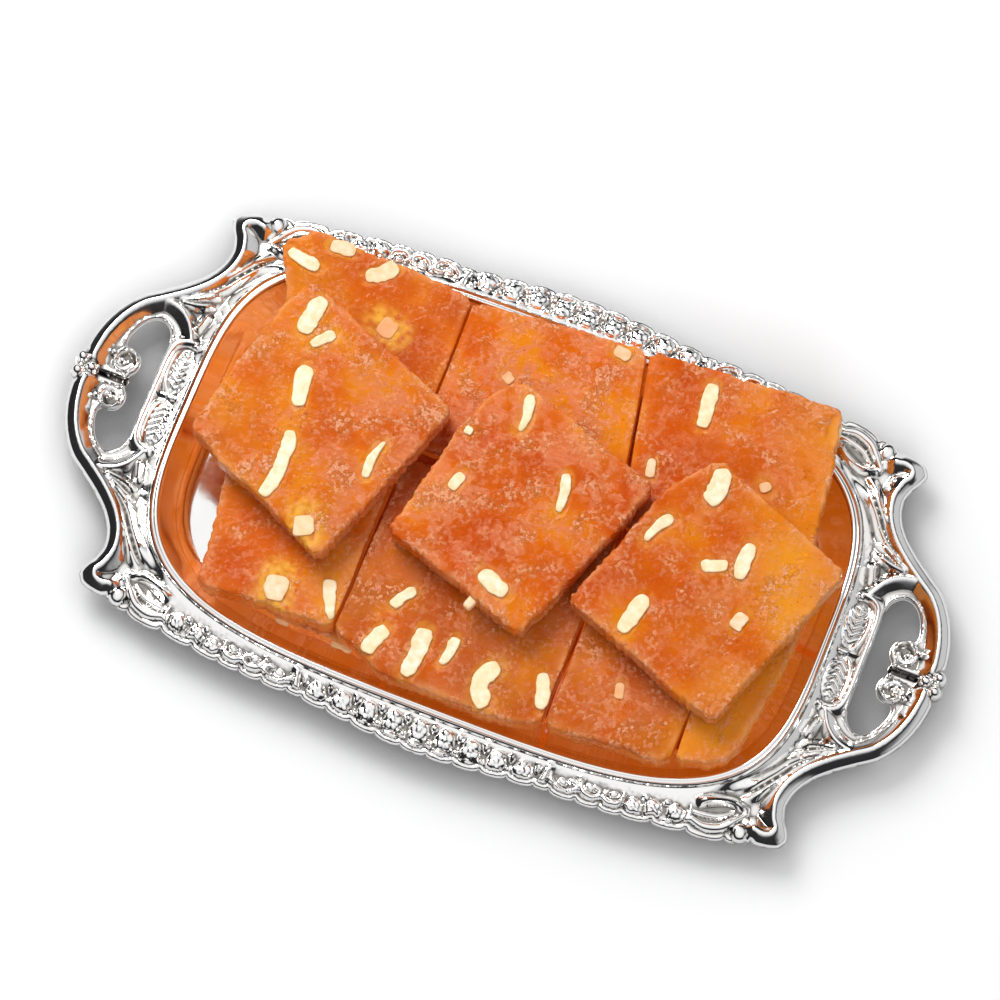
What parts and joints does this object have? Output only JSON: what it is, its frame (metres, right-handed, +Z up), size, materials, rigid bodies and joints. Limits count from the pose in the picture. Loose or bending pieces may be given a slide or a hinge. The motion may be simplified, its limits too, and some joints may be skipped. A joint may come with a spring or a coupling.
{
  "type": "bombay halwa platter",
  "caption": "Oblong silvered serving tray with scroll handles and a raised floral border, carrying a stack of cut slabs of orange cashew jelly sweet.",
  "frame": {"origin": "centre of the tray's underside, on the surface that it stands on", "axes": "+X along the tray from handle to handle, +Y across it towards the slabs that lie over the rim, +Z up"},
  "size_m": [0.3756, 0.2032, 0.0459],
  "materials": {
    "silver_plate": "polished silver plate",
    "orange_jelly": "glossy translucent starch jelly",
    "cashew": "satin cut nut"
  },
  "bodies": {
    "root": {"nut_01": "cashew", "nut_02": "cashew", "nut_03": "cashew", "nut_04": "cashew", "nut_05": "cashew", "nut_06": "cashew", "nut_07": "cashew", "nut_08": "cashew", "nut_09": "cashew", "nut_10": "cashew", "nut_11": "cashew", "nut_12": "cashew", "nut_13": "cashew", "nut_14": "cashew", "nut_15": "cashew", "nut_16": "cashew", "nut_17": "cashew", "nut_18": "cashew", "nut_19": "cashew", "nut_20": "cashew", "nut_21": "cashew", "nut_22": "cashew", "nut_23": "cashew", "nut_24": "cashew", "nut_25": "cashew", "nut_26": "cashew", "nut_27": "cashew", "nut_28": "cashew", "nut_29": "cashew", "nut_30": "cashew", "nut_31": "cashew", "nut_32": "cashew", "nut_33": "cashew", "nut_34": "cashew", "nut_35": "cashew", "nut_36": "cashew", "nut_37": "cashew", "nut_38": "cashew", "nut_39": "cashew", "nut_40": "cashew", "nut_41": "cashew", "nut_42": "cashew", "slab_back_left": "orange_jelly", "slab_back_middle": "orange_jelly", "slab_back_right": "orange_jelly", "slab_base_back_left": "orange_jelly", "slab_base_back_middle": "orange_jelly", "slab_base_back_right": "orange_jelly", "slab_base_front_left": "orange_jelly", "slab_base_front_middle": "orange_jelly", "slab_base_front_right": "orange_jelly", "slab_end_right": "orange_jelly", "slab_front_left": "orange_jelly", "slab_front_middle": "orange_jelly", "slab_front_right": "orange_jelly", "slab_top_left": "orange_jelly", "slab_top_middle": "orange_jelly", "slab_top_right": "orange_jelly", "tray": "silver_plate"}
  },
  "joints": []
}
